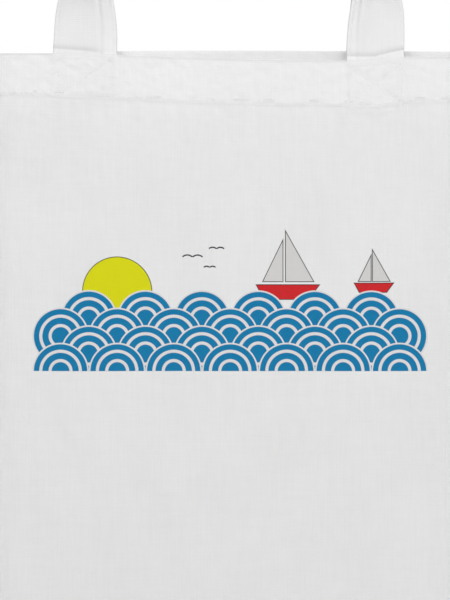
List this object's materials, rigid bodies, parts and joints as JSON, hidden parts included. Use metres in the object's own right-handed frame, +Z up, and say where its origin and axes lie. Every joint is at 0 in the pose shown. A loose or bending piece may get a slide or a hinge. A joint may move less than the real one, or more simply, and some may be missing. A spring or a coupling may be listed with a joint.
{
  "type": "tote bag",
  "caption": "White cotton tote bag hanging open by two long cloth handles, with turned hems, box-stitched strap ends and a printed band across the front.",
  "frame": {"origin": "middle of the underside of the back handle's arch, where a hand or a peg holds the hanging bag", "axes": "+X to the right across the front, the front faces -Y, +Z up along the hanging bag"},
  "size_m": [0.38, 0.0551, 0.6964],
  "materials": {
    "body_cotton": "matt plain-woven cotton, white",
    "hem_cotton": "matt plain-woven cotton, white, folded and stitched",
    "strap_cotton": "matt plain-woven cotton strap, white, folded and stitched"
  },
  "bodies": {
    "bag": {"front_panel": "body_cotton", "back_panel": "body_cotton", "front_hem": "hem_cotton", "back_hem": "hem_cotton", "left_side_seam": "body_cotton", "right_side_seam": "body_cotton", "bottom_seam": "body_cotton", "front_strap_end_left": "strap_cotton", "front_strap_end_right": "strap_cotton", "back_strap_end_left": "strap_cotton", "back_strap_end_right": "strap_cotton"},
    "front_handle": {"front_handle": "strap_cotton"},
    "back_handle": {"back_handle": "strap_cotton"}
  },
  "joints": [
    {"name": "front_handle_fold", "type": "hinge", "parent": "bag", "child": "front_handle", "pos_m": [0, -0.0169, -0.274], "axis": [1, 0, 0], "range_deg": [0, 150]},
    {"name": "back_handle_fold", "type": "hinge", "parent": "bag", "child": "back_handle", "pos_m": [0, 0.0169, -0.27], "axis": [-1, 0, 0], "range_deg": [0, 150]}
  ]
}
